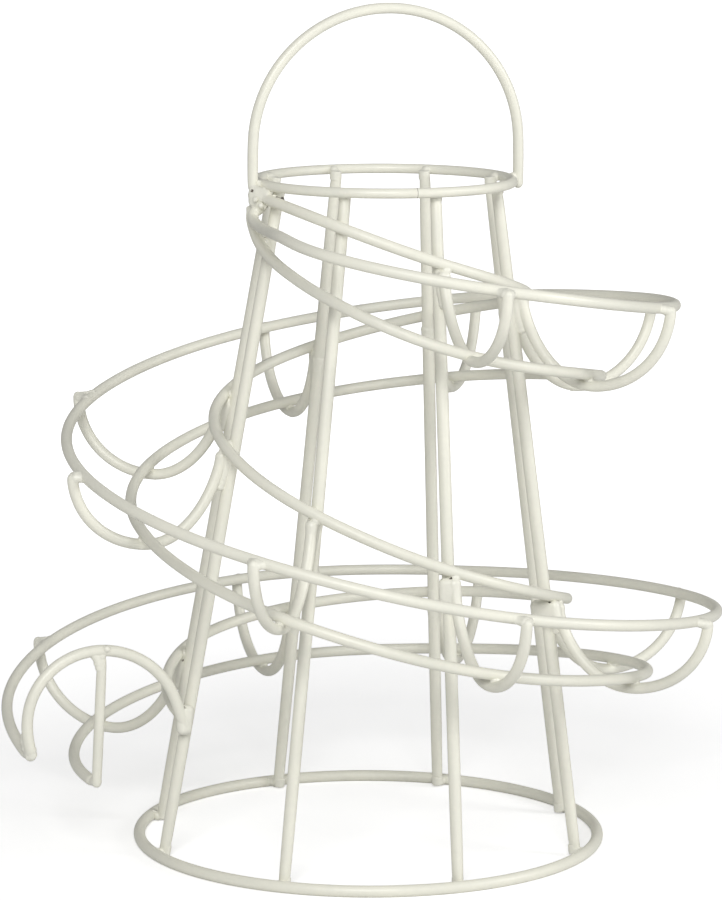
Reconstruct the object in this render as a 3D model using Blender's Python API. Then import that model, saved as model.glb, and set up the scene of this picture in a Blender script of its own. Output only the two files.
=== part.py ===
"""Rolling egg dispenser: a tapered tower of welded wire with an egg run that winds down round it."""

import math

import bmesh
import bpy
from mathutils import Matrix, Vector

# Lengths are in metres and turns in degrees, anticlockwise from above and from +X.
# The tower stands round the base ring's centre, and radii reach to the centre of a wire.
BASE_RING_RADIUS = 0.100
TOP_RING_RADIUS = 0.0547
TOWER_HEIGHT = 0.2845
CROWN_SHIFT = 0.006
BASE_RING_STEPS = 56
TOP_RING_STEPS = 40

# Every wire has its own gauge, and a welded pair is kept apart by the paint's thickness.
BASE_RING_WIRE = 0.0050
TOP_RING_WIRE = 0.0043
UPRIGHT_WIRE = 0.0054
RAIL_WIRE = 0.0048
HOOP_WIRE = 0.0048
HANDLE_WIRE = 0.0046
GATE_ARCH_WIRE = 0.0049
GATE_BAR_WIRE = 0.0044
WELD_GAP = 0.0003
WIRE_SIDES = 8
# A cut end is dressed round: how far in from the tip, and how thick there, of the wire's
# radius. No bend starts nearer to the tip than the clear share of it.
TIP_SHARES = ((0.06, 0.36), (0.38, 0.78), (1.0, 1.0))
TIP_CLEAR_SHARE = 1.5

# The eight uprights, from the back right one: where each foot and each head is welded.
UPRIGHT_FOOT_TURNS = (25.1, 70.5, 115.8, 164.8, 202.7, 248.3, 293.3, 339.8)
UPRIGHT_HEAD_TURNS = (24.3, 69.1, 114.7, 161.4, 207.8, 250.9, 295.2, 341.8)
UPRIGHT_FOOT_DROP = 0.0018
UPRIGHT_HEAD_RISE = 0.0012

# The carrying bow over the top ring, its right foot before its left one.
HANDLE_FOOT_TURNS = (15.3, 201.0)
HANDLE_LEG_DROPS = (0.0045, 0.0026)
HANDLE_LEG_RISE = 0.0160
HANDLE_BOW_RISE = 0.0574
HANDLE_STEPS = 24

# The egg run. A bay is the turn from one upright to the next, counted down the run
# from the front left upright.
RUN_START_TURN = 204.5
BAY_TURN = 45.0
RUN_WIDTH = 0.064
RUN_DEPTH = 0.035
RAIL_STEP = 0.0105

# Bay, then the inner rail's height as a share of the tower's.
INNER_RAIL_SHARES = (
    (0.04, 0.9815),
    (0.25, 0.978),
    (0.5, 0.972),
    (0.75, 0.963),
    (1, 0.952),
    (2, 0.897),
    (3, 0.848),
    (4, 0.8085),
    (5, 0.7705),
    (6, 0.722),
    (7, 0.671),
    (8, 0.617),
    (9, 0.538),
    (10, 0.453),
    (11, 0.387),
    (12, 0.342),
    (13, 0.318),
    (14, 0.294),
    (15, 0.264),
    (15.6, 0.235),
    (15.98, 0.214),
)
# Bay, reach out from the inner rail as a share of the run's width, and drop below it
# as a share of the run's depth.
OUTER_RAIL_SHARES = (
    (-0.026, -0.02, 0.125),
    (-0.06, 0.02, 0.139),
    (-0.066, 0.055, 0.186),
    (-0.023, 0.069, 0.245),
    (0.106, 0.086, 0.291),
    (0.289, 0.125, 0.282),
    (0.512, 0.221, 0.238),
    (0.79, 0.43, 0.146),
    (1, 0.60, 0.14),
    (2, 0.94, 0.13),
    (3, 0.975, 0.155),
    (4, 0.99, 0.06),
    (5, 1.0, -0.01),
    (6, 0.97, 0.01),
    (7, 0.965, 0.125),
    (8, 0.99, 0.237),
    (9, 0.99, 0.24),
    (10, 1.0, 0.22),
    (11, 1.01, 0.15),
    (12, 1.01, 0.097),
    (13, 1.03, 0.08),
    (14, 1.06, 0.0),
    (15, 1.07, 0.15),
    (15.6, 1.07, 0.30),
    (15.96, 1.03, 0.39),
)
BOTTOM_RAIL_SHARES = (
    (-0.17, 0, 0.1),
    (-0.186, 0.027, 0.143),
    (-0.178, 0.041, 0.214),
    (-0.138, 0.043, 0.305),
    (-0.065, 0.04, 0.41),
    (0.039, 0.045, 0.516),
    (0.215, 0.063, 0.588),
    (0.42, 0.095, 0.65),
    (0.73, 0.156, 0.72),
    (1, 0.225, 0.78),
    (2, 0.432, 0.994),
    (3, 0.497, 1.0),
    (4, 0.504, 0.989),
    (5, 0.49, 0.917),
    (6, 0.505, 0.86),
    (7, 0.52, 0.911),
    (8, 0.565, 0.989),
    (9, 0.612, 1.017),
    (10, 0.612, 1.014),
    (11, 0.576, 0.906),
    (12, 0.536, 0.883),
    (13, 0.545, 0.954),
    (14, 0.563, 0.911),
    (15, 0.62, 0.977),
    (15.6, 0.615, 0.905),
    (16.05, 0.575, 0.745),
)

# Each hoop is named for its upright's bay, and leans to the bay where it meets the outer rail.
HOOP_BAYS = (2, 3, 4, 5, 6, 7, 8, 9, 10, 11, 12, 13, 14, 15)
HOOP_OUTER_BAYS = (1.98, 2.98, 4.01, 5.03, 5.97, 7.10, 8.02, 9.01, 9.99, 10.94, 12.04, 13.045, 13.98, 14.97)
# How far each outer tip stands over the outer rail's centre, in shares of the hoop's wire.
HOOP_TIP_SHARES = (0.2, 0.2, 0.1, 0.1, 0.1, 0.6, 0.2, 0.3, 0.2, 0.2, 0.1, 0.1, 0.1, 0.5)
HOOP_MIDDLE_SHARE = 0.48
HOOP_QUARTER_STEPS = 7

# The gate at the low end of the run. Its arch crests at a share of its span from the tower,
# and bends down to the tower in an arc whose radius is a share of that distance.
GATE_BAY = 16.0
GATE_CLEAR_BAYS = 0.05
GATE_HEIGHT = 0.0432
GATE_ARCH_RISE = 0.0297
GATE_CREST_SHARE = 0.555
GATE_BEND_SHARE = 0.95
GATE_BEND_TURN = 66.0
GATE_BEND_STEPS = 7
GATE_BAR_LEAN = 0.0029
GATE_TOE_TUCK = 0.0020
GATE_TOE_STEPS = 3
GATE_TOE_SIDE_TURN = 301.0
GATE_LEG_SIDE_TURN = 272.0
GATE_LEG_RISE = 0.0055

UP = Vector((0, 0, 1))
COAT_COLOUR = (0.80, 0.79, 0.72, 1.0)
COAT_ROUGHNESS = 0.42
COAT_METALLIC = 0.0


def clear_scene():
    for old in list(bpy.data.objects):
        bpy.data.objects.remove(old, do_unlink=True)


def powder_coat(name):
    """Cream powder coat, satin and slightly yellow."""
    coat = bpy.data.materials.new(name + "_coat")
    coat.use_nodes = True
    shader = coat.node_tree.nodes["Principled BSDF"]
    shader.inputs["Base Color"].default_value = COAT_COLOUR
    shader.inputs["Roughness"].default_value = COAT_ROUGHNESS
    shader.inputs["Metallic"].default_value = COAT_METALLIC
    return coat


def place(name, data, root):
    data.materials.append(powder_coat(name))
    piece = bpy.data.objects.new(name, data)
    piece.parent = root
    bpy.context.scene.collection.objects.link(piece)
    return piece


def seat(first_wire, second_wire):
    """Distance between the centres of two wires that are welded side by side."""
    return (first_wire + second_wire) / 2 + WELD_GAP


def around(turn):
    """Level direction out from the tower at a turn in degrees."""
    angle = math.radians(turn)
    return Vector((math.cos(angle), math.sin(angle), 0))


def level(vector):
    return Vector((vector.x, vector.y, 0)).normalized()


def flatness(direction):
    """Level part of a unit direction."""
    return math.hypot(direction.x, direction.y)


def tower_axis(height):
    return Vector((CROWN_SHIFT * height / TOWER_HEIGHT, 0, height))


def upright_radius(height):
    foot = BASE_RING_RADIUS - seat(BASE_RING_WIRE, UPRIGHT_WIRE)
    head = TOP_RING_RADIUS - seat(TOP_RING_WIRE, UPRIGHT_WIRE)
    return foot + (head - foot) * height / TOWER_HEIGHT


def upright_point(index, height):
    foot = tower_axis(0) + around(UPRIGHT_FOOT_TURNS[index]) * upright_radius(0)
    head = tower_axis(TOWER_HEIGHT) + around(UPRIGHT_HEAD_TURNS[index]) * upright_radius(TOWER_HEIGHT)
    return foot.lerp(head, height / TOWER_HEIGHT)


def upright_at_bay(bay):
    """The upright that a whole bay number stands for."""
    turns_from_first = RUN_START_TURN + BAY_TURN * bay - UPRIGHT_FOOT_TURNS[0]
    return round(turns_from_first / BAY_TURN) % len(UPRIGHT_FOOT_TURNS)


def lean_stretch():
    """Level distance per unit of distance square to an upright, which leans."""
    lean = math.atan2(upright_radius(0) - upright_radius(TOWER_HEIGHT), TOWER_HEIGHT)
    return 1 / math.cos(lean)


def inner_rail_radius(height):
    return upright_radius(height) + seat(UPRIGHT_WIRE, RAIL_WIRE) * lean_stretch()


def dressed(points, radius):
    """The path with rounded ends: pairs of a point and the share of the wire's radius there."""
    head = (points[1] - points[0]).normalized()
    tail = (points[-2] - points[-1]).normalized()
    start = [(points[0] + head * radius * inset, thick) for inset, thick in TIP_SHARES]
    end = [(points[-1] + tail * radius * inset, thick) for inset, thick in reversed(TIP_SHARES)]
    middle = [
        (point, 1.0)
        for point in points[1:-1]
        if min((point - points[0]).length, (point - points[-1]).length) > radius * TIP_CLEAR_SHARE
    ]
    return start + middle + end


def wire(name, points, diameter, root):
    """A bent length of round wire with dressed ends."""
    curve = bpy.data.curves.new(name, "CURVE")
    curve.dimensions = "3D"
    curve.bevel_depth = diameter / 2
    curve.bevel_resolution = (WIRE_SIDES - 4) // 2
    curve.use_fill_caps = True
    path = dressed(points, diameter / 2)
    spline = curve.splines.new("POLY")
    spline.points.add(len(path) - 1)
    for knot, (point, thickness) in zip(spline.points, path):
        knot.co = (*point, 1)
        knot.radius = thickness
    return place(name, curve, root)


def ring(name, radius, diameter, height, steps, root):
    """A closed ring of round wire with one of its facets facing straight down."""
    mesh = bpy.data.meshes.new(name)
    shape = bmesh.new()
    half_facet = Matrix.Rotation(math.pi / WIRE_SIDES, 4, "Z")
    upright = Matrix.Rotation(math.pi / 2, 4, "X")
    section = bmesh.ops.create_circle(
        shape,
        segments=WIRE_SIDES,
        radius=diameter / 2,
        matrix=Matrix.Translation((radius, 0, 0)) @ upright @ half_facet,
    )
    profile = section["verts"] + list({edge for vert in section["verts"] for edge in vert.link_edges})
    bmesh.ops.spin(shape, geom=profile, axis=UP, angle=math.tau, steps=steps, use_merge=True)
    bmesh.ops.recalc_face_normals(shape, faces=shape.faces)
    shape.to_mesh(mesh)
    shape.free()
    mesh.shade_smooth()
    piece = place(name, mesh, root)
    piece.location = tower_axis(height)
    return piece


def make_uprights(root):
    for index in range(len(UPRIGHT_FOOT_TURNS)):
        foot = upright_point(index, -UPRIGHT_FOOT_DROP)
        head = upright_point(index, TOWER_HEIGHT + UPRIGHT_HEAD_RISE)
        wire(f"upright_{index + 1}", [foot, head], UPRIGHT_WIRE, root)


def make_handle(root):
    crown = tower_axis(TOWER_HEIGHT)
    out = TOP_RING_RADIUS + seat(TOP_RING_WIRE, HANDLE_WIRE)
    right, left = (crown + around(turn) * out for turn in HANDLE_FOOT_TURNS)
    right_drop, left_drop = HANDLE_LEG_DROPS
    points = [right - UP * right_drop]
    for step in range(HANDLE_STEPS + 1):
        angle = math.pi * step / HANDLE_STEPS
        rise = HANDLE_LEG_RISE + HANDLE_BOW_RISE * math.sin(angle)
        points.append(right.lerp(left, (1 - math.cos(angle)) / 2) + UP * rise)
    points.append(left - UP * left_drop)
    wire("handle", points, HANDLE_WIRE, root)


def smooth_rows(rows, position):
    """Bays and places along a smooth line through rows of (bay, ...) values."""
    places = [position(row) for row in rows]
    knots = [0.0]
    for before, after in zip(places, places[1:]):
        knots.append(knots[-1] + (after - before).length)
    slopes = [slope_at(rows, knots, index) for index in range(len(rows))]
    samples = []
    for index in range(len(rows) - 1):
        span = knots[index + 1] - knots[index]
        steps = max(1, round(span / RAIL_STEP))
        for step in range(steps):
            samples.append(blend(rows, slopes, index, span, step / steps))
    samples.append(rows[-1])
    return [(row[0], position(row)) for row in samples]


def slope_at(rows, knots, index):
    """Rate of change of every value at a row, weighed by its distances to its neighbours."""
    before = max(index - 1, 0)
    after = min(index + 1, len(rows) - 1)
    slope = []
    for low, here, high in zip(rows[before], rows[index], rows[after]):
        ahead = (high - here) / (knots[after] - knots[index]) if after > index else 0.0
        behind = (here - low) / (knots[index] - knots[before]) if index > before else 0.0
        if after == index:
            slope.append(behind)
        elif before == index:
            slope.append(ahead)
        else:
            share = (knots[index] - knots[before]) / (knots[after] - knots[before])
            slope.append(behind * (1 - share) + ahead * share)
    return slope


def blend(rows, slopes, index, span, share):
    """Cubic blend of two neighbouring rows that keeps their slopes."""
    rest = 1 - share
    return [
        start * (1 + 2 * share) * rest**2
        + start_slope * span * share * rest**2
        + end * (3 - 2 * share) * share**2
        - end_slope * span * share**2 * rest
        for start, start_slope, end, end_slope in zip(
            rows[index], slopes[index], rows[index + 1], slopes[index + 1]
        )
    ]


def run_point(bay, radius, height):
    return tower_axis(height) + around(RUN_START_TURN + BAY_TURN * bay) * radius


def inner_rail_point(row):
    bay, height_share = row
    height = height_share * TOWER_HEIGHT
    return run_point(bay, inner_rail_radius(height), height)


def rail_at(rail, bay):
    """A rail's place at a bay, or its nearer end where it doesn't reach that bay."""
    for (bay_before, before), (bay_after, after) in zip(rail, rail[1:]):
        if bay_before <= bay < bay_after:
            return before.lerp(after, (bay - bay_before) / (bay_after - bay_before))
    return rail[0][1] if bay < rail[0][0] else rail[-1][1]


def beside_inner_rail(inner_rail):
    """Places for rows of a bay, a reach out from the inner rail and a drop below it."""

    def position(row):
        bay, reach_share, drop_share = row
        height = rail_at(inner_rail, bay).z
        radius = inner_rail_radius(height) + reach_share * RUN_WIDTH
        return run_point(bay, radius, height - drop_share * RUN_DEPTH)

    return position


def crossing(rail, origin, heading, bay):
    """Where a rail passes the vertical plane through origin along heading, and its direction there."""
    sideways = heading.cross(UP)
    for (bay_before, before), (_, after) in zip(rail, rail[1:]):
        left = (before - origin).dot(sideways)
        right = (after - origin).dot(sideways)
        if abs(bay_before - bay) < 1 and left * right <= 0 and left != right:
            return before.lerp(after, left / (left - right)), (after - before).normalized()
    raise ValueError(f"no rail crosses the plane near bay {bay}")


def hoop_points(number, outer_bay, tip_share, rails):
    """A hoop: down the upright from under the inner rail, beneath the bottom rail and up outside."""
    inner_rail, outer_rail, bottom_rail = rails
    upright = upright_at_bay(number)
    origin = upright_point(upright, rail_at(inner_rail, number).z)
    heading = level(rail_at(outer_rail, outer_bay) - origin)
    inner, inner_run = crossing(inner_rail, origin, heading, number)
    outer, outer_run = crossing(outer_rail, origin, heading, outer_bay)
    low, low_run = crossing(bottom_rail, origin, heading, (number + outer_bay) / 2)

    def leg_reach(height):
        lean = (upright_point(upright, height) - origin).dot(heading)
        return lean + seat(UPRIGHT_WIRE, HOOP_WIRE) * lean_stretch()

    top = inner.z - (RAIL_WIRE / 2 + WELD_GAP) / flatness(inner_run)
    past_outer = seat(RAIL_WIRE, HOOP_WIRE) / abs(heading.cross(level(outer_run)).z)
    end_reach = (outer - origin).dot(heading) + past_outer
    middle = leg_reach(top) + (end_reach - leg_reach(top)) * HOOP_MIDDLE_SHARE
    low_reach = (low - origin).dot(heading)
    if low_reach > middle:
        half, side_height = end_reach - middle, outer.z
    else:
        half, side_height = middle - leg_reach(top), top
    sway = abs(low_reach - middle) / half
    lift = 1 - math.sqrt(1 - sway**2)
    slope = (side_height - low.z) * sway / half
    under_rail = low.z - seat(RAIL_WIRE, HOOP_WIRE) * math.hypot(1, slope) / flatness(low_run)
    bottom = (under_rail - side_height * lift) / (1 - lift)

    points = []
    for step in range(HOOP_QUARTER_STEPS + 1):
        angle = math.pi / 2 * step / HOOP_QUARTER_STEPS
        height = top - (top - bottom) * math.sin(angle)
        reach = leg_reach(height) + (middle - leg_reach(bottom)) * (1 - math.cos(angle))
        points.append((reach, height))
    for step in range(1, HOOP_QUARTER_STEPS + 1):
        angle = math.pi / 2 * step / HOOP_QUARTER_STEPS
        reach = middle + (end_reach - middle) * math.sin(angle)
        points.append((reach, bottom + (outer.z - bottom) * (1 - math.cos(angle))))
    points.append((end_reach, outer.z + HOOP_WIRE * tip_share))
    base = Vector((origin.x, origin.y, 0))
    return [base + heading * reach + UP * height for reach, height in points]


def run_rails():
    """The three rails of the egg run, each as (bay, point) samples down its centre."""
    inner_rail = smooth_rows(INNER_RAIL_SHARES, inner_rail_point)
    position = beside_inner_rail(inner_rail)
    return inner_rail, smooth_rows(OUTER_RAIL_SHARES, position), smooth_rows(BOTTOM_RAIL_SHARES, position)


def gate_frame(outer_rail):
    """The gate arch's inner end beside the upright, its toe, and the direction between them."""
    rail_end = outer_rail[-1][1]
    rail_run = (rail_end - outer_rail[-2][1]).normalized()
    toe_side = around(GATE_TOE_SIDE_TURN) * seat(RAIL_WIRE, GATE_ARCH_WIRE)
    toe = rail_end - rail_run * RAIL_WIRE / 2 + toe_side
    leg_side = around(GATE_LEG_SIDE_TURN) * seat(UPRIGHT_WIRE, GATE_ARCH_WIRE) * lean_stretch()
    leg = upright_point(upright_at_bay(0), toe.z + GATE_LEG_RISE) + leg_side
    return leg, toe, level(toe - leg)


def make_rails(rails, root):
    inner_rail, outer_rail, bottom_rail = rails
    leg, _, heading = gate_frame(outer_rail)
    bar_point, bar_run = crossing(bottom_rail, leg, heading, GATE_BAY)
    stop = bar_point - bar_run * (GATE_BAR_WIRE / 2 + WELD_GAP) / flatness(bar_run)
    wire("inner_rail", [point for _, point in inner_rail], RAIL_WIRE, root)
    wire("outer_rail", [point for _, point in outer_rail], RAIL_WIRE, root)
    kept = [point for bay, point in bottom_rail if bay < GATE_BAY - GATE_CLEAR_BAYS]
    wire("bottom_rail", kept + [stop], RAIL_WIRE, root)


def make_hoops(rails, root):
    for count, places in enumerate(zip(HOOP_BAYS, HOOP_OUTER_BAYS, HOOP_TIP_SHARES), start=1):
        wire(f"hoop_{count:02d}", hoop_points(*places, rails), HOOP_WIRE, root)


def crest_bend(span):
    """The arch's crest, by the distance out from its inner end, and its bend to the tower."""
    crest = span * GATE_CREST_SHARE
    return crest, crest * GATE_BEND_SHARE


def arch_height(reach, span):
    """Height over the toe along the arch."""
    crest, radius = crest_bend(span)
    if reach < crest:
        return GATE_HEIGHT - radius + math.sqrt(radius**2 - (crest - reach) ** 2)
    share = (reach - crest) / (span - crest)
    return GATE_HEIGHT - GATE_ARCH_RISE * (1 - math.sqrt(1 - share**2))


def make_gate(rails, root):
    """The arch that stops the eggs, and the bar that splits it in two."""
    _, outer_rail, bottom_rail = rails
    leg, toe, heading = gate_frame(outer_rail)
    span = (toe - leg).dot(heading) + GATE_TOE_TUCK
    spring = GATE_HEIGHT - GATE_ARCH_RISE
    foot = Vector((leg.x, leg.y, toe.z))
    points = []
    for step in range(GATE_TOE_STEPS):
        share = 1 - step / GATE_TOE_STEPS
        reach = span - GATE_TOE_TUCK * share**2
        points.append(foot + heading * reach + UP * spring * (1 - share))
    crest, radius = crest_bend(span)
    for step in range(GATE_BEND_STEPS):
        reach = crest + (span - crest) * math.cos(math.pi / 2 * step / GATE_BEND_STEPS)
        points.append(foot + heading * reach + UP * arch_height(reach, span))
    for step in range(GATE_BEND_STEPS + 1):
        reach = crest - radius * math.sin(math.radians(GATE_BEND_TURN) * step / GATE_BEND_STEPS)
        points.append(foot + heading * reach + UP * arch_height(reach, span))
    points.append(leg)
    wire("gate_arch", points, GATE_ARCH_WIRE, root)

    bar_foot, _ = crossing(bottom_rail, leg, heading, GATE_BAY)
    bar_reach = (bar_foot - leg).dot(heading) - GATE_BAR_LEAN
    bar_top = arch_height(bar_reach, span) - GATE_ARCH_WIRE / 2 - WELD_GAP
    bar_foot.z -= RAIL_WIRE / 2
    wire("gate_bar", [bar_foot, foot + heading * bar_reach + UP * bar_top], GATE_BAR_WIRE, root)


def stand_on_origin(root):
    """Centres the rack's box over the origin, with the base ring's lowest facet at height zero."""
    bpy.context.view_layer.update()
    graph = bpy.context.evaluated_depsgraph_get()
    corners = []
    for piece in root.children:
        solid = piece.evaluated_get(graph)
        corners += [solid.matrix_world @ vert.co for vert in solid.to_mesh().vertices]
        solid.to_mesh_clear()
    lowest = Vector(min(corner[axis] for corner in corners) for axis in range(3))
    highest = Vector(max(corner[axis] for corner in corners) for axis in range(3))
    centre = (lowest + highest) / 2
    root.location = (-centre.x, -centre.y, -lowest.z)


def main():
    clear_scene()
    root = bpy.data.objects.new("egg_dispenser", None)
    bpy.context.scene.collection.objects.link(root)
    ring("base_ring", BASE_RING_RADIUS, BASE_RING_WIRE, 0, BASE_RING_STEPS, root)
    ring("top_ring", TOP_RING_RADIUS, TOP_RING_WIRE, TOWER_HEIGHT, TOP_RING_STEPS, root)
    make_uprights(root)
    make_handle(root)
    rails = run_rails()
    make_rails(rails, root)
    make_hoops(rails, root)
    make_gate(rails, root)
    stand_on_origin(root)


main()
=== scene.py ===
# Rolling egg dispenser, the looks: welded round wire under a cream powder coat.
import math
from itertools import combinations

import bpy
from mathutils import Matrix, Vector, geometry, kdtree


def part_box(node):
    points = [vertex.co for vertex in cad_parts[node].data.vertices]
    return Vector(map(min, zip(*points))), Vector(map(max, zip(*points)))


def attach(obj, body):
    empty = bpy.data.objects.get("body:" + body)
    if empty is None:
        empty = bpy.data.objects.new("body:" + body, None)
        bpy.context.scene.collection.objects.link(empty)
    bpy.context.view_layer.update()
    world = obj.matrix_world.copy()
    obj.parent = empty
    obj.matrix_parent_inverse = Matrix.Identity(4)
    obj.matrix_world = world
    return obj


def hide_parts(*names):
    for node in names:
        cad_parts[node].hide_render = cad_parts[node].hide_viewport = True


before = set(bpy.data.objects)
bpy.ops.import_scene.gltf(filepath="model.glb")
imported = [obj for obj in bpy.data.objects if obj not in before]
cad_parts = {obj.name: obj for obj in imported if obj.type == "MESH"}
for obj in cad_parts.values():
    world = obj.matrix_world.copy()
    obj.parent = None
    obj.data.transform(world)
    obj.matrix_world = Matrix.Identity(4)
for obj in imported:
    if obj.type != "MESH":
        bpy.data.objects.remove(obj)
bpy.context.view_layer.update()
print("frame loaded,", len(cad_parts), "nodes")


# Small tools for working as by hand

def selectOnly(*objects):
    if bpy.context.mode != "OBJECT":
        bpy.ops.object.mode_set(mode="OBJECT")
    bpy.ops.object.select_all(action="DESELECT")
    for thing in objects:
        thing.select_set(True)
    bpy.context.view_layer.objects.active = objects[0]


def applyModifier(piece, kind, **settings):
    modifier = piece.modifiers.new(kind.title(), kind)
    for name, value in settings.items():
        setattr(modifier, name, value)
    selectOnly(piece)
    bpy.ops.object.modifier_apply(modifier=modifier.name)


def joinAll(pieces, name):
    selectOnly(*pieces)
    if len(pieces) > 1:
        bpy.ops.object.join()
    joined = bpy.context.view_layer.objects.active
    joined.name = name
    joined.data.name = name
    return joined


# Powder coat

def addNode(tree, kind, place, **values):
    node = tree.nodes.new(kind)
    node.location = place
    for name, value in values.items():
        if hasattr(node, name):
            setattr(node, name, value)
        else:
            node.inputs[name.replace("_", " ")].default_value = value
    return node


def startGroup(name, output):
    tree = bpy.data.node_groups.new(name, "ShaderNodeTree")
    tree.interface.new_socket("Vector", in_out="INPUT", socket_type="NodeSocketVector")
    tree.interface.new_socket(output, in_out="OUTPUT", socket_type="NodeSocketFloat")
    return tree


def mixNoises(tree, first, second, secondShare):
    # two noises over the group's vector, each a scale and a detail, mixed into one value
    start = addNode(tree, "NodeGroupInput", (-800, 0))
    blend = addNode(tree, "ShaderNodeMix", (-360, 0), data_type="FLOAT")
    blend.inputs[0].default_value = secondShare
    for (scale, detail), height, socket in ((first, 120, 2), (second, -120, 3)):
        noise = addNode(tree, "ShaderNodeTexNoise", (-580, height), Scale=scale, Detail=detail)
        tree.links.new(start.outputs["Vector"], noise.inputs["Vector"])
        tree.links.new(noise.outputs["Fac"], blend.inputs[socket])
    return blend.outputs[0]


orangePeel = {  # the faint dimples of a sprayed and baked coat
    "groupName": "orange peel",
    "dimples": (520.0, 2.0),    # scale and detail
    "ripples": (150.0, 1.0),
    "rippleShare": 0.45,
}


def buildOrangePeel():
    s = orangePeel
    tree = startGroup(s["groupName"], "Height")
    height = mixNoises(tree, s["dimples"], s["ripples"], s["rippleShare"])
    end = addNode(tree, "NodeGroupOutput", (60, 0))
    tree.links.new(height, end.inputs["Height"])
    return tree


coatClouds = {  # thicker and thinner paint, seen as slow changes of tone
    "groupName": "coat clouds",
    "clouds": (34.0, 3.0),      # scale and detail
    "specks": (420.0, 1.0),
    "speckShare": 0.25,
    "low": 0.38,                # noise under this is thin paint, over the next thick
    "high": 0.64,
}


def buildCoatClouds():
    s = coatClouds
    tree = startGroup(s["groupName"], "Mask")
    cloud = mixNoises(tree, s["clouds"], s["specks"], s["speckShare"])
    spread = addNode(tree, "ShaderNodeMapRange", (-160, 0), From_Min=s["low"], From_Max=s["high"])
    end = addNode(tree, "NodeGroupOutput", (60, 0))
    tree.links.new(cloud, spread.inputs["Value"])
    tree.links.new(spread.outputs["Result"], end.inputs["Mask"])
    return tree


film = {  # what the three below share
    "metallic": 0.0,
    "ior": 1.5,
}
creamCoat = {  # the wires themselves
    "thick": (0.815, 0.803, 0.700, 1.0),
    "thin": (0.765, 0.757, 0.665, 1.0),
    "glossy": 0.34,
    "dull": 0.46,
    "bumpStrength": 0.10,
    "bumpDistance": 0.0004,
    "shift": (0.0, 0.0, 0.0),
}
weldCoat = {  # paint that has pooled over the welds: a little fuller and glossier
    "thick": (0.825, 0.814, 0.718, 1.0),
    "thin": (0.770, 0.762, 0.675, 1.0),
    "glossy": 0.30,
    "dull": 0.42,
    "bumpStrength": 0.22,
    "bumpDistance": 0.0005,
    "shift": (0.31, 0.17, 0.05),
}
bareMetalAndShade = {  # burnt weld metal: pinholes, dark specks and the seam; also painted shade, in a dimple where a hollow is in shade
    "thick": (0.150, 0.130, 0.105, 1.0),
    "thin": (0.085, 0.075, 0.065, 1.0),
    "glossy": 0.65,
    "dull": 0.85,
    "bumpStrength": 0.40,
    "bumpDistance": 0.0005,
    "shift": (0.11, 0.43, 0.29),
}


def coatMaterial(name, s, clouds, peel):
    material = bpy.data.materials.new(name)
    material.use_nodes = True
    tree = material.node_tree
    shader = tree.nodes["Principled BSDF"]
    shader.inputs["Metallic"].default_value = film["metallic"]
    shader.inputs["IOR"].default_value = film["ior"]
    where = addNode(tree, "ShaderNodeTexCoord", (-1100, 0))
    mapping = addNode(tree, "ShaderNodeMapping", (-900, 0), Location=s["shift"])
    mask = addNode(tree, "ShaderNodeGroup", (-680, 160), node_tree=clouds)
    dimples = addNode(tree, "ShaderNodeGroup", (-680, -260), node_tree=peel)
    tone = addNode(tree, "ShaderNodeMix", (-420, 240), data_type="RGBA")
    tone.inputs[6].default_value = s["thin"]
    tone.inputs[7].default_value = s["thick"]
    gloss = addNode(tree, "ShaderNodeMapRange", (-420, -20), To_Min=s["dull"], To_Max=s["glossy"])
    bump = addNode(tree, "ShaderNodeBump", (-420, -280), Strength=s["bumpStrength"])
    bump.inputs["Distance"].default_value = s["bumpDistance"]
    links = tree.links
    links.new(where.outputs["Object"], mapping.inputs["Vector"])
    links.new(mapping.outputs["Vector"], mask.inputs["Vector"])
    links.new(mapping.outputs["Vector"], dimples.inputs["Vector"])
    links.new(mask.outputs["Mask"], tone.inputs[0])
    links.new(mask.outputs["Mask"], gloss.inputs["Value"])
    links.new(dimples.outputs["Height"], bump.inputs["Height"])
    links.new(tone.outputs[2], shader.inputs["Base Color"])
    links.new(gloss.outputs["Result"], shader.inputs["Roughness"])
    links.new(bump.outputs["Normal"], shader.inputs["Normal"])
    return material


cloudGroup = buildCoatClouds()
peelGroup = buildOrangePeel()
wireMaterial = coatMaterial("cream coat", creamCoat, cloudGroup, peelGroup)
bareAndShadeMaterial = coatMaterial("bare metal and painted shade", bareMetalAndShade, cloudGroup, peelGroup)
weldMaterial = coatMaterial("cream coat over welds", weldCoat, cloudGroup, peelGroup)
print("materials made")


# Round wires

wires = {  # all bent from round stock: the thickness, by the start of a node's name
    "base_ring": 0.0050,
    "top_ring": 0.0043,
    "upright": 0.0054,
    "handle": 0.0046,
    "inner_rail": 0.0048,
    "outer_rail": 0.0048,
    "bottom_rail": 0.0048,
    "hoop": 0.0048,
    "gate_arch": 0.0049,
    "gate_bar": 0.0044,
}
fitting = {  # where a wire leaves its place in the frame
    "pressed": {"hoop_01": 0.0036},  # up into the bottom rail that it carries
    "headCut": 0.0014,      # off an upright's head, which ends within the top ring
    "headReach": 0.0060,    # of the upright that the cut moves
    "floor": 0.0,           # nothing goes under it, and the base ring is pressed flat on it
}
rounding = {
    "sides": 8,             # of a wire's outline in the frame
    "levels": 2,
    "mergeDistance": 0.00002,
    "flatAngle": math.radians(40),      # triangles up to this far apart make a quad
    "skewAngle": math.radians(170),
}


def gaugeOf(name):
    return next(gauge for start, gauge in wires.items() if name.startswith(start))


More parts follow.
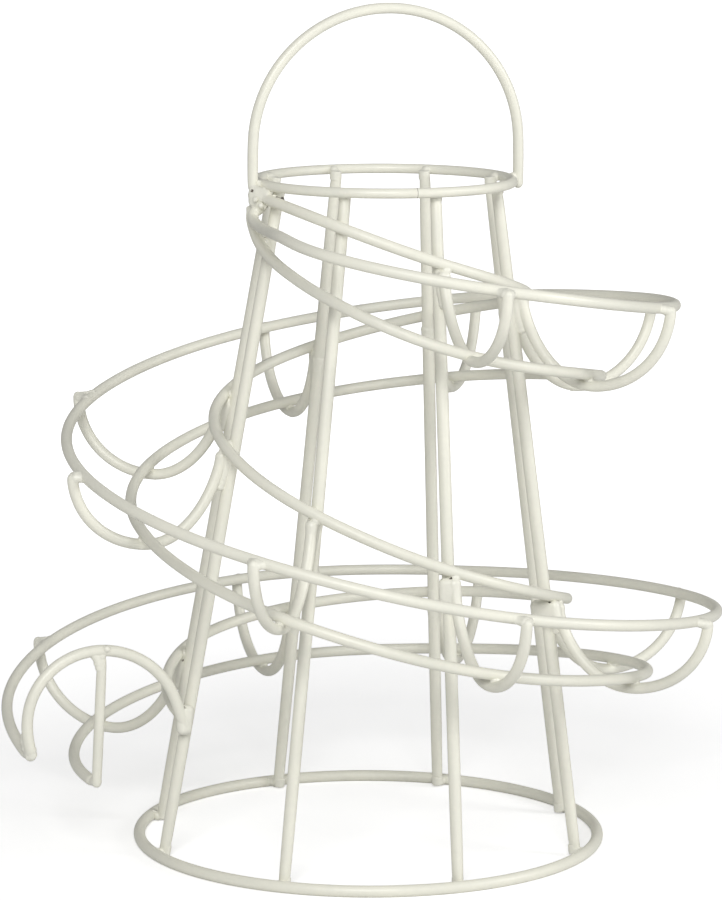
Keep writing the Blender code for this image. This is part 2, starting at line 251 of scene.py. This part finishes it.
def roundWire(name):
    s = rounding
    piece = bpy.data.objects.new(name + "_wire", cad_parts[name].data.copy())
    bpy.context.scene.collection.objects.link(piece)
    selectOnly(piece)
    bpy.ops.object.mode_set(mode="EDIT")
    bpy.ops.mesh.select_all(action="SELECT")
    bpy.ops.mesh.remove_doubles(threshold=s["mergeDistance"])
    bpy.ops.mesh.tris_convert_to_quads(
        face_threshold=s["flatAngle"], shape_threshold=s["skewAngle"]
    )
    bpy.ops.object.mode_set(mode="OBJECT")
    applyModifier(piece, "SUBSURF", levels=s["levels"], render_levels=s["levels"])
    # smoothing draws each corner in, a third of the way to the line between its neighbours
    shrunk = (1 - math.cos(math.tau / s["sides"])) / 3
    bpy.ops.object.mode_set(mode="EDIT")
    bpy.ops.mesh.select_all(action="SELECT")
    bpy.ops.transform.shrink_fatten(value=gaugeOf(name) / 2 * shrunk)
    bpy.ops.object.mode_set(mode="OBJECT")
    bpy.ops.object.shade_smooth()
    piece.data.materials.clear()
    piece.data.materials.append(wireMaterial)
    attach(piece, "root")
    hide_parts(name)
    return piece


def pressUp(piece, lift):
    # the hoop's bend rises and its two ends stay
    heights = [vertex.co.z for vertex in piece.data.vertices]
    low, high = min(heights), max(heights)
    for vertex in piece.data.vertices:
        share = (high - vertex.co.z) / (high - low)
        vertex.co.z += lift * share * share * (3 - 2 * share)


def cutHead(piece):
    # the upper half of the reach drops whole, the lower half less and less
    s = fitting
    top = max(vertex.co.z for vertex in piece.data.vertices)
    for vertex in piece.data.vertices:
        share = max(0.0, 1 - (top - vertex.co.z) / s["headReach"])
        vertex.co.z -= s["headCut"] * min(1.0, 2 * share)


seam = {  # a groove round the wire, where the top ring's two ends meet
    "place": (0.0227, -0.0607, 0.2875),
    "depth": 0.00012,
    "around": 48,           # segments of the cutter
    "section": 8,
}


def cutSeam(ring):
    s = seam
    low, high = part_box("top_ring")
    middle = (Vector(low) + Vector(high)) / 2
    outward = Vector(s["place"]) - middle
    outward.z = 0.0
    half = gaugeOf("top_ring") / 2
    reach = ((high[0] - low[0]) + (high[1] - low[1])) / 4 - half
    along = outward.cross(Vector((0, 0, 1)))
    bpy.ops.mesh.primitive_torus_add(
        major_segments=s["around"],
        minor_segments=s["section"],
        major_radius=half,
        minor_radius=s["depth"],
        location=middle + outward.normalized() * reach,
        rotation=along.to_track_quat("Z", "Y").to_euler(),
    )
    cutter = bpy.context.active_object
    cutter.data.materials.append(bareAndShadeMaterial)
    applyModifier(
        ring,
        "BOOLEAN",
        operation="DIFFERENCE",
        solver="EXACT",
        object=cutter,
        material_mode="TRANSFER",
    )
    bpy.data.objects.remove(cutter)


def standOn(piece, floor):
    for vertex in piece.data.vertices:
        vertex.co.z = max(vertex.co.z, floor)


wirePieces = {name: roundWire(name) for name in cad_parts}
standOn(wirePieces["base_ring"], fitting["floor"])
for name, lift in fitting["pressed"].items():
    pressUp(wirePieces[name], lift)
for name, piece in wirePieces.items():
    if name.startswith("upright"):
        cutHead(piece)
cutSeam(wirePieces["top_ring"])
print("wires rounded")


# Welds

welds = {
    # finding them
    "cell": 0.0010,         # between the centres that make up a wire's line
    "straight": ("upright", "gate_bar"),  # wires whose line is drawn from end to end
    "look": 0.0045,         # how far along a wire its direction is taken
    "slack": 0.0009,        # the nearest centres may lie this much too far apart
    "gap": 0.0006,          # wires further apart than this aren't welded
    "spacing": 0.0080,      # nearer than this, two spots are one weld
    "beside": 0.92,         # wires that run this near to the same way are welded side by side
    # a fillet: a core in each wire, and a plug between them
    "reach": 0.0035,        # of a core, each way
    "tipShare": 0.25,       # of half the wire, that a core may run into a rounded tip
    "bend": 0.0012,         # how far a bent wire may leave its core's line
    "sink": 0.00018,        # of the core under the wires' own paint
    "plug": 0.0022,         # its radius
    # melting them into one
    "coreSides": 24,
    "lumpSides": 16,
    "lumpRings": 8,
    "voxel": 0.00026,
    "smoothing": 14,
    "smoothFactor": 0.5,
    "kept": 0.35,           # share of the faces kept once the weld is smooth
}
weldGroups = (  # a weld goes with the first of these that one of its wires starts with
    "handle",
    "gate",
    "top_ring",
    "base_ring",
    "outer_rail",
    "bottom_rail",
    "inner_rail",
    "hoop",
)


def centreLine(name):
    # a wire's centres, from its skin moved in by half its thickness, one to each cell
    half = gaugeOf(name) / 2
    cells = {}
    for vertex in wirePieces[name].data.vertices:
        centre = vertex.co - vertex.normal * half
        key = tuple(round(value / welds["cell"]) for value in centre)
        cells.setdefault(key, centre)
    centres = list(cells.values())
    if name.startswith(welds["straight"]):
        foot, head = min(centres, key=lambda c: c.z), max(centres, key=lambda c: c.z)
        steps = round((head - foot).length / welds["cell"])
        centres = [foot.lerp(head, step / steps) for step in range(steps + 1)]
    tree = kdtree.KDTree(len(centres))
    for index, centre in enumerate(centres):
        tree.insert(centre, index)
    tree.balance()
    return centres, tree


def touching(first, second):
    # how far apart the centres of two wires are where they touch
    return (gaugeOf(first) + gaugeOf(second)) / 2


def direction(tree, point):
    near = tree.find_range(point, welds["look"])
    far = max(near, key=lambda found: found[2])
    return (far[0] - point).normalized()


def weldSpots(first, second, lines):
    s = welds
    reach = touching(first, second)
    points, tree = lines[first]
    _, otherTree = lines[second]
    hits = []
    for point in points:
        other, _, distance = otherTree.find(point)
        if distance < reach + s["slack"]:
            hits.append((distance, point, other))
    hits.sort(key=lambda hit: hit[0])
    spots = []
    for _, point, other in hits:
        if any((point - spot["first"]).length < s["spacing"] for spot in spots):
            continue
        along, otherAlong = direction(tree, point), direction(otherTree, other)
        if abs(along.dot(otherAlong)) < s["beside"]:
            nearest = geometry.intersect_line_line(point, point + along, other, other + otherAlong)
            if nearest and (nearest[0] - point).length < s["look"]:
                point, other = nearest
        if (point - other).length > reach + s["gap"]:
            continue
        spots.append({"first": point, "second": other, "along": along, "otherAlong": otherAlong})
    return spots


def wireRun(name, centre, along, lines):
    # how far the wire goes on each way from a spot on it, as far as a weld reaches
    s = welds
    spare = gaugeOf(name) / 2 * s["tipShare"]
    runs = [0.0]
    for point, _, _ in lines[name][1].find_range(centre, 2 * s["reach"]):
        run = (point - centre).dot(along)
        if (point - centre - along * run).length < s["bend"]:
            runs.append(run)
    return max(-s["reach"], min(runs) - spare), min(s["reach"], max(runs) + spare)


def addCore(name, centre, along, run):
    bpy.ops.mesh.primitive_cylinder_add(
        vertices=welds["coreSides"],
        radius=gaugeOf(name) / 2 - welds["sink"],
        depth=run[1] - run[0],
        location=centre + along * (run[0] + run[1]) / 2,
        rotation=along.to_track_quat("Z", "Y").to_euler(),
    )
    return bpy.context.active_object


def addLump(place, radius):
    bpy.ops.mesh.primitive_uv_sphere_add(
        segments=welds["lumpSides"],
        ring_count=welds["lumpRings"],
        radius=radius,
        location=place,
    )
    return bpy.context.active_object


def fuse(parts, smoothing=welds["smoothing"]):
    # cores and lumps melted into one smooth bead
    s = welds
    bead = joinAll(parts, "bead")
    bpy.ops.object.transform_apply(location=True, rotation=True, scale=True)
    applyModifier(bead, "REMESH", mode="VOXEL", voxel_size=s["voxel"])
    applyModifier(bead, "SMOOTH", iterations=smoothing, factor=s["smoothFactor"])
    applyModifier(bead, "DECIMATE", ratio=s["kept"])
    return bead


flares = {  # weld metal that spreads to both sides of a hoop's tip on the outer rail
    "tipOver": 0.00010,     # of the metal over the wire's own tip
    "toward": 0.30,         # share of the way over to the rail
    "back": 0.0008,         # from the tip
    "sides": (  # distance to each side, share of the way over, radius
        (0.0010, 0.15, 0.0021),
        (0.0016, 0.50, 0.0021),
        (0.0028, 0.80, 0.0020),
        (0.0038, 0.97, 0.0021),
    ),
}


def flareTip(name, tip, inward, across, otherAlong):
    s = flares
    start = tip + inward * s["back"]
    lumps = [addLump(start + across * s["toward"], gaugeOf(name) / 2 + s["tipOver"])]
    for apart, toward, radius in s["sides"]:
        for side in (-apart, apart):
            lumps.append(addLump(start + across * toward + otherAlong * side, radius))
    return lumps


def weldFillet(spot, first, second, lines):
    parts = [addLump((spot["first"] + spot["second"]) / 2, welds["plug"])]
    ways = (
        (first, spot["first"], spot["along"], spot["second"] - spot["first"], spot["otherAlong"]),
        (second, spot["second"], spot["otherAlong"], spot["first"] - spot["second"], spot["along"]),
    )
    for name, centre, along, across, otherAlong in ways:
        run = wireRun(name, centre, along, lines)
        parts.append(addCore(name, centre, along, run))
        flared = name.startswith("hoop") and "outer_rail" in (first, second)
        for end in run:
            if flared and abs(end) < welds["reach"]:  # the wire ends before the weld does
                inward = -along if end > 0 else along
                parts += flareTip(name, centre + along * end, inward, across, otherAlong)
    return fuse(parts)


def followWire(name, place, reach, lines):
    # lumps as thick as the wire, along its centres near a place
    radius = gaugeOf(name) / 2 - welds["sink"]
    return [addLump(point, radius) for point, _, _ in lines[name][1].find_range(place, reach)]


legWebs = {  # the long weld that fills the wedge between a hoop's inner leg and its upright
    "run": 0.0150,          # down from the leg's head
    "open": 0.0026,         # widest gap that it fills
    "thick": 0.0029,        # radius at the head
    "thin": 0.0016,         # and at the foot
    "over": 0.00032,        # of the weld over both wires at its head, gone half way down
    "rise": 0.0016,         # of the weld's head over the leg's, up to the rail
    "smoothing": 18,
}


def legWeb(hoop, upright, lines):
    s = legWebs
    apart = touching(hoop, upright) + s["open"]
    uprightTree = lines[upright][1]
    pairs = [(point, uprightTree.find(point)) for point in lines[hoop][0]]
    pairs = [(point, found[0]) for point, found in pairs if found[2] < apart]
    if not pairs:
        return None
    head, headOther = max(pairs, key=lambda pair: pair[0].z)
    top = head.z
    parts = [addLump((head + headOther) / 2 + Vector((0, 0, s["rise"])), s["thick"])]
    for point, other in pairs:
        share = (top - point.z) / s["run"]
        if share > 1:
            continue
        parts.append(addLump((point + other) / 2, s["thick"] + (s["thin"] - s["thick"]) * share))
        over = s["over"] - (s["over"] + welds["sink"]) * min(1.0, 2 * share)
        parts.append(addLump(point, gaugeOf(hoop) / 2 + over))
        parts.append(addLump(other, gaugeOf(upright) / 2 + over))
    return fuse(parts, s["smoothing"])


# Welds with more metal than a fillet. Each has lumps, given by place and radius, or a plate
# between four corners, and covers its wires within its reach from its middle.
pools = (
    {  # where the run's rails meet the handle and an upright
        "name": "run_start",
        "wires": ("handle", "top_ring", "upright_5", "inner_rail", "outer_rail", "bottom_rail"),
        "middle": (-0.0430, -0.0290, 0.2815),
        "reach": 0.0085,
        "smoothing": 60,
        "lumps": (
            (-0.0458, -0.0282, 0.2848, 0.0024),
            (-0.0440, -0.0295, 0.2846, 0.0023),
            (-0.0420, -0.0308, 0.2842, 0.0021),
            (-0.0402, -0.0322, 0.2834, 0.0020),
            (-0.0460, -0.0280, 0.2826, 0.0027),
            (-0.0440, -0.0292, 0.2826, 0.0028),
            (-0.0420, -0.0305, 0.2822, 0.0027),
            (-0.0458, -0.0272, 0.2800, 0.0027),
            (-0.0438, -0.0285, 0.2800, 0.0028),
            (-0.0420, -0.0292, 0.2790, 0.0026),
        ),
    },
    {  # drops along its lower edge
        "name": "run_start_bead",
        "smoothing": 6,
        "lumps": (
            (-0.0452, -0.0316, 0.2812, 0.0013),
            (-0.0428, -0.0322, 0.2788, 0.0014),
            (-0.0406, -0.0340, 0.2809, 0.0014),
            (-0.0374, -0.0352, 0.2824, 0.0014),
        ),
    },
    {  # dark specks in the gap between the top ring and the rail
        "name": "run_start_dark_specks",
        "bare": True,
        "smoothing": 4,
        "lumps": (
            (-0.0359, -0.0384, 0.2825, 0.0009),
            (-0.0347, -0.0381, 0.2819, 0.0008),
            (-0.0340, -0.0309, 0.2812, 0.0011),
        ),
    },
    {  # a sleeve over the gate's inner leg
        "name": "gate_leg",
        "wires": ("gate_arch", "upright_5", "inner_rail"),
        "middle": (-0.0760, -0.0430, 0.0610),
        "reach": 0.0075,
        "smoothing": 26,
        "plate": (
            (-0.0763, -0.0452, 0.0644),
            (-0.0738, -0.0440, 0.0642),
            (-0.0761, -0.0458, 0.0567),
            (-0.0746, -0.0446, 0.0565),
        ),
        "plateRadius": 0.0026,
    },
    {  # over a hoop's leg and its upright
        "name": "leg_block_07",
        "wires": ("hoop_09", "upright_7"),
        "middle": (0.0362, -0.0765, 0.1243),
        "reach": 0.0060,
        "smoothing": 26,
        "plate": (
            (0.0343, -0.0786, 0.1264),
            (0.0385, -0.0794, 0.1266),
            (0.0348, -0.0790, 0.1172),
            (0.0392, -0.0806, 0.1176),
        ),
        "plateRadius": 0.0027,
    },
    {  # over an upright and the rail
        "name": "leg_block_08",
        "wires": ("upright_8", "inner_rail"),
        "middle": (0.0779, -0.0360, 0.1086),
        "reach": 0.0050,
        "smoothing": 26,
        "plate": (
            (0.0740, -0.0374, 0.1089),
            (0.0818, -0.0404, 0.1095),
            (0.0747, -0.0374, 0.1037),
            (0.0826, -0.0410, 0.1045),
        ),
        "plateRadius": 0.0026,
    },
    {  # where the gate's outer leg ends on the rail
        "name": "gate_toe",
        "wires": ("gate_arch", "outer_rail"),
        "middle": (-0.1400, -0.0670, 0.0530),
        "reach": 0.0070,
        "smoothing": 26,
        "lumps": (
            (-0.1393, -0.0673, 0.0508, 0.0026),
            (-0.1405, -0.0668, 0.0535, 0.0025),
            (-0.1414, -0.0662, 0.0562, 0.0021),
            (-0.1419, -0.0658, 0.0582, 0.0015),
        ),
    },
    {  # the spread head of the gate's bar, under the arch
        "name": "gate_crest",
        "wires": ("gate_arch", "gate_bar"),
        "middle": (-0.1095, -0.0580, 0.0905),
        "reach": 0.0065,
        "smoothing": 16,
        "lumps": (
            (-0.1096, -0.0580, 0.0912, 0.0022),
            (-0.1122, -0.0590, 0.0912, 0.0020),
            (-0.1114, -0.0587, 0.0898, 0.0019),
            (-0.1110, -0.0585, 0.0880, 0.0019),
            (-0.1105, -0.0583, 0.0860, 0.0018),
            (-0.1098, -0.0580, 0.0845, 0.0018),
            (-0.1070, -0.0593, 0.0943, 0.0016),
        ),
    },
)


plates = {
    "step": 0.0011,         # at most, between the lumps that a plate is laid down in
}


def layPlate(corners, radius):
    topLeft, topRight, lowLeft, lowRight = (Vector(corner) for corner in corners)
    width = max((topRight - topLeft).length, (lowRight - lowLeft).length)
    height = max((lowLeft - topLeft).length, (lowRight - topRight).length)
    across, down = math.ceil(width / plates["step"]), math.ceil(height / plates["step"])
    lumps = []
    for row in range(down + 1):
        left, right = topLeft.lerp(lowLeft, row / down), topRight.lerp(lowRight, row / down)
        lumps += [addLump(left.lerp(right, step / across), radius) for step in range(across + 1)]
    return lumps


def makePool(pool, lines):
    parts = [addLump(place, radius) for *place, radius in pool.get("lumps", ())]
    if "plate" in pool:
        parts += layPlate(pool["plate"], pool["plateRadius"])
    for wire in pool.get("wires", ()):
        parts += followWire(wire, Vector(pool["middle"]), pool["reach"], lines)
    return fuse(parts, pool["smoothing"])


pinholesAndPaintedShade = {  # dark dimples: pinholes where the powder didn't close over a weld, and painted shade where a hollow beside a weld is in shade
    "depth": 0.0006,
    "dark": 0.80,           # share of the radius painted dark: bare metal in pinholes, painted shade at the shaded hollow
    "places": (  # place and radius
        (0.0795, -0.0412, 0.1115, 0.0007),
        (0.0826, -0.0356, 0.1100, 0.0010),
        (-0.0786, 0.0158, 0.0732, 0.0007),
        # painted shade: a dark dimple on the sleeve's top edge, where the hollow between the wires
        # is in shade
        (-0.0751, -0.0462, 0.0664, 0.0008),
        (-0.0467, -0.0302, 0.2847, 0.0008),
        (-0.0401, -0.0298, 0.2777, 0.0008),
        # these two: dark spots in the gap between the top ring and the rail
        (-0.0357, -0.0387, 0.2828, 0.0009),
        (-0.0337, -0.0306, 0.2814, 0.0009),
        (0.0330, -0.0790, 0.1286, 0.0006),
        (0.0369, -0.0798, 0.1290, 0.0008),
    ),
}


# presses dark dimples: bare pinholes, and painted shade at the shaded hollow
def pierceAndPaintShade(piece):
    s = pinholesAndPaintedShade
    for *place, radius in s["places"]:
        place = Vector(place)
        pressed = [vertex for vertex in piece.data.vertices if (vertex.co - place).length < radius]
        if not pressed:
            continue
        if len(piece.data.materials) < 2:
            piece.data.materials.append(bareAndShadeMaterial)
        # the faces near each middle are painted dark: bare metal in pinholes, painted shade at the
        # shaded hollow
        for polygon in piece.data.polygons:
            if (polygon.center - place).length < radius * s["dark"]:
                polygon.material_index = 1
        moves = []
        for vertex in pressed:
            share = (vertex.co - place).length / radius
            moves.append((vertex, vertex.normal * (1 - share ** 2)))
        for vertex, inward in moves:  # afterwards, because a move turns the normals beside it
            vertex.co -= inward * s["depth"]


def dressWeld(made, name, material=weldMaterial):
    piece = joinAll(made, name)
    standOn(piece, fitting["floor"])
    piece.data.validate()  # thinning can leave a face twice
    bpy.ops.object.shade_smooth()
    piece.data.materials.clear()
    piece.data.materials.append(material)
    pierceAndPaintShade(piece)
    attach(piece, "root")


def groupOf(first, second):
    for start in weldGroups:
        if first.startswith(start) or second.startswith(start):
            return start
    return None  # two uprights never meet


def makeWelds():
    lines = {name: centreLine(name) for name in wirePieces}
    beads = {group: [] for group in weldGroups}
    for first, second in combinations(sorted(wirePieces), 2):
        group = groupOf(first, second)
        if first.startswith("hoop") and second.startswith("upright"):
            web = legWeb(first, second, lines)
            beads[group] += [web] if web else []
        elif group:
            for spot in weldSpots(first, second, lines):
                beads[group].append(weldFillet(spot, first, second, lines))
    for group, made in beads.items():
        print("welds of", group, len(made))
        if made:
            dressWeld(made, group + "_welds")
    for pool in pools:
        material = bareAndShadeMaterial if pool.get("bare") else weldMaterial
        dressWeld([makePool(pool, lines)], pool["name"] + "_weld", material)


makeWelds()
print("welds made")


# Studio

studio = {
    "floorSize": 14.0,
    "floorColour": (0.86, 0.86, 0.86, 1.0),
    "floorRoughness": 0.9,
    "floorShine": 0.0,
    "nearGlow": 0.44,       # of the floor to the camera, low by the rack to keep its shadow
    "farGlow": 1.0,
    "glowSpread": (0.25, 0.95),  # how far out the floor starts to brighten, and is white
    "white": (1.0, 1.0, 1.0, 1.0),
    "worldGrey": (0.27, 0.27, 0.27, 1.0),  # what lights the rack, behind a white backdrop
    "aim": (0.0, 0.0, 0.16),
    "lamps": (  # name, place from the rack's foot, size, watts
        ("key", (-0.15, -2.00, 1.30), 1.2, 31.0),
        ("side", (1.90, -0.60, 0.90), 0.9, 16.0),
    ),
}


def makeFloor():
    s = studio
    bpy.ops.mesh.primitive_plane_add(size=s["floorSize"])
    floor = bpy.context.active_object
    floor.name = "floor"
    material = bpy.data.materials.new("studio floor")
    material.use_nodes = True
    tree = material.node_tree
    shader = tree.nodes["Principled BSDF"]
    shader.inputs["Base Color"].default_value = s["floorColour"]
    shader.inputs["Roughness"].default_value = s["floorRoughness"]
    shader.inputs["Specular IOR Level"].default_value = s["floorShine"]
    shader.inputs["Emission Color"].default_value = s["white"]
    where = addNode(tree, "ShaderNodeTexCoord", (-900, -300))
    away = addNode(tree, "ShaderNodeVectorMath", (-700, -300), operation="LENGTH")
    near, far = s["glowSpread"]
    spread = addNode(tree, "ShaderNodeMapRange", (-500, -300), From_Min=near, From_Max=far)
    spread.inputs["To Min"].default_value = s["nearGlow"]
    spread.inputs["To Max"].default_value = s["farGlow"]
    path = addNode(tree, "ShaderNodeLightPath", (-500, -100))
    glow = addNode(tree, "ShaderNodeMath", (-260, -200), operation="MULTIPLY")
    tree.links.new(where.outputs["Object"], away.inputs[0])
    tree.links.new(away.outputs["Value"], spread.inputs["Value"])
    tree.links.new(spread.outputs["Result"], glow.inputs[1])
    tree.links.new(path.outputs["Is Camera Ray"], glow.inputs[0])
    tree.links.new(glow.outputs[0], shader.inputs["Emission Strength"])
    floor.data.materials.append(material)


def makeWorld():
    s = studio
    world = bpy.data.worlds.new("studio")
    bpy.context.scene.world = world
    world.use_nodes = True
    tree = world.node_tree
    background = tree.nodes["Background"]
    path = addNode(tree, "ShaderNodeLightPath", (-700, 0))
    seen = addNode(tree, "ShaderNodeMath", (-480, 0), operation="MAXIMUM")
    tone = addNode(tree, "ShaderNodeMix", (-260, 0), data_type="RGBA")
    tone.inputs[6].default_value = s["worldGrey"]
    tone.inputs[7].default_value = s["white"]
    tree.links.new(path.outputs["Is Camera Ray"], seen.inputs[0])
    tree.links.new(path.outputs["Is Transmission Ray"], seen.inputs[1])
    tree.links.new(seen.outputs[0], tone.inputs[0])
    tree.links.new(tone.outputs[2], background.inputs["Color"])


def makeLamps():
    s = studio
    for name, place, size, watts in s["lamps"]:
        bpy.ops.object.light_add(type="AREA", location=place)
        lamp = bpy.context.active_object
        lamp.name = name
        lamp.data.shape = "DISK"
        lamp.data.size = size
        lamp.data.energy = watts
        toward = Vector(s["aim"]) - Vector(place)
        lamp.rotation_euler = toward.to_track_quat("-Z", "Y").to_euler()


camera = {  # from the middle of the base ring
    "place": (0.0, -1.75778, 0.45791),
    "pan": -0.0021,
    "tilt": 0.1633,
    "roll": 0.0031,
    "focalPixels": 4143.08,
    "imageHeight": 900,
    "sensor": 36.0,
    "clipEnd": 100.0,
}


def makeCamera():
    s = camera
    low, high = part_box("base_ring")
    middle = (Vector(low) + Vector(high)) / 2
    bpy.ops.object.camera_add()
    view = bpy.context.active_object
    view.data.sensor_width = s["sensor"]
    view.data.lens = s["focalPixels"] / s["imageHeight"] * s["sensor"]
    view.data.clip_end = s["clipEnd"]
    look = Vector((
        math.sin(s["pan"]) * math.cos(s["tilt"]),
        math.cos(s["pan"]) * math.cos(s["tilt"]),
        -math.sin(s["tilt"]),
    ))
    right = Vector((math.cos(s["pan"]), -math.sin(s["pan"]), 0.0))
    up = right.cross(look)
    rolledRight = right * math.cos(s["roll"]) + up * math.sin(s["roll"])
    rolledUp = up * math.cos(s["roll"]) - right * math.sin(s["roll"])
    turn = Matrix((rolledRight, rolledUp, -look)).transposed()
    view.matrix_world = Matrix.Translation(middle + Vector(s["place"])) @ turn.to_4x4()
    bpy.context.scene.camera = view


makeFloor()
makeWorld()
makeLamps()
makeCamera()
bpy.context.scene.view_settings.view_transform = "Standard"
print("studio set")
